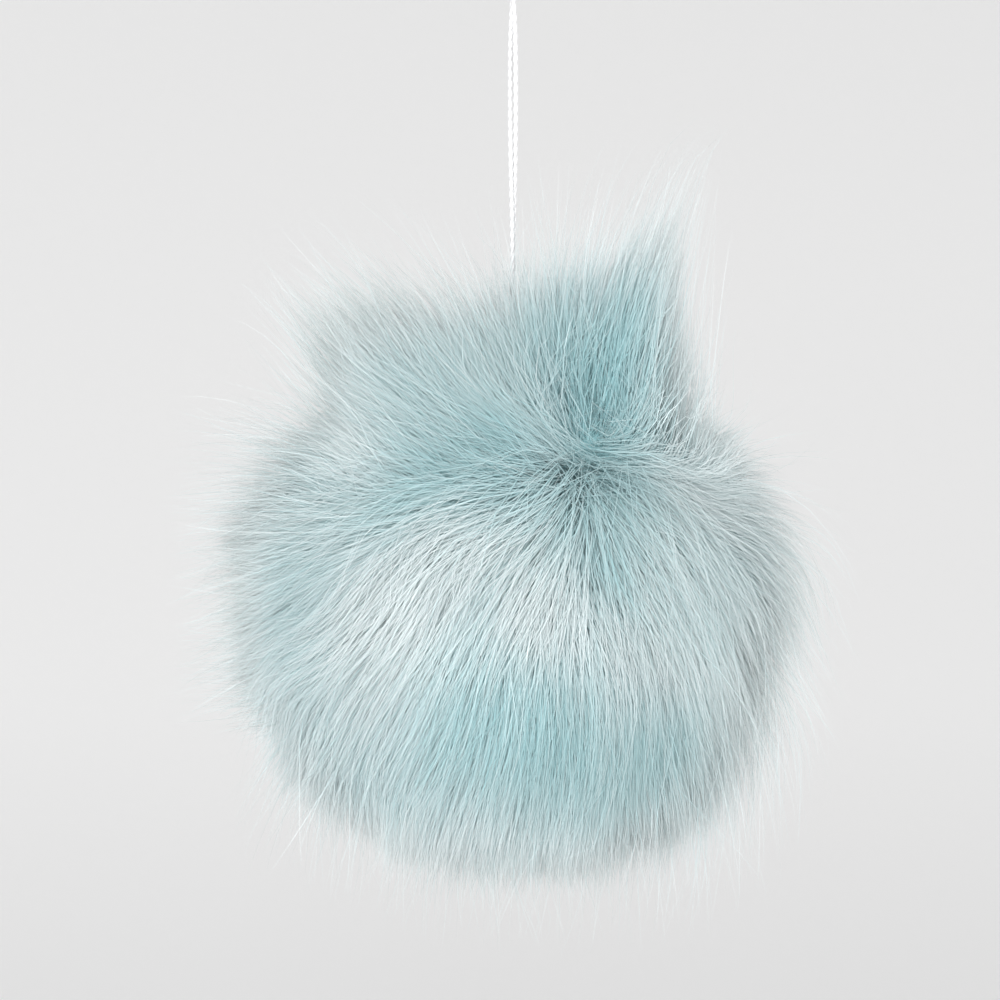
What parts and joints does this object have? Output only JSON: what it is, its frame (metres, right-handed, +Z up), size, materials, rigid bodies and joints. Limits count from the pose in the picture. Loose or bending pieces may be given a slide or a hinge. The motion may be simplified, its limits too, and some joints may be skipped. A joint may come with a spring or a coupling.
{
  "type": "faux fur pom pom on a hanging cord",
  "caption": "Long-pile faux fur pom pom, a combed ball with tufts at its top, hanging from a doubled thin cord that ends in a loop.",
  "frame": {"origin": "top of the hanging loop, at the underside of its bend, where a hook would bear", "axes": "+Z up along the cord, +X to the right of the picture, the picture taken along +Y"},
  "size_m": [0.1285, 0.1235, 0.209],
  "materials": {
    "fur": "long soft pile with a silky sheen",
    "cord": "matt white braid"
  },
  "bodies": {
    "root": {"fur_ball": "fur", "hanging_cord": "cord"}
  },
  "joints": []
}
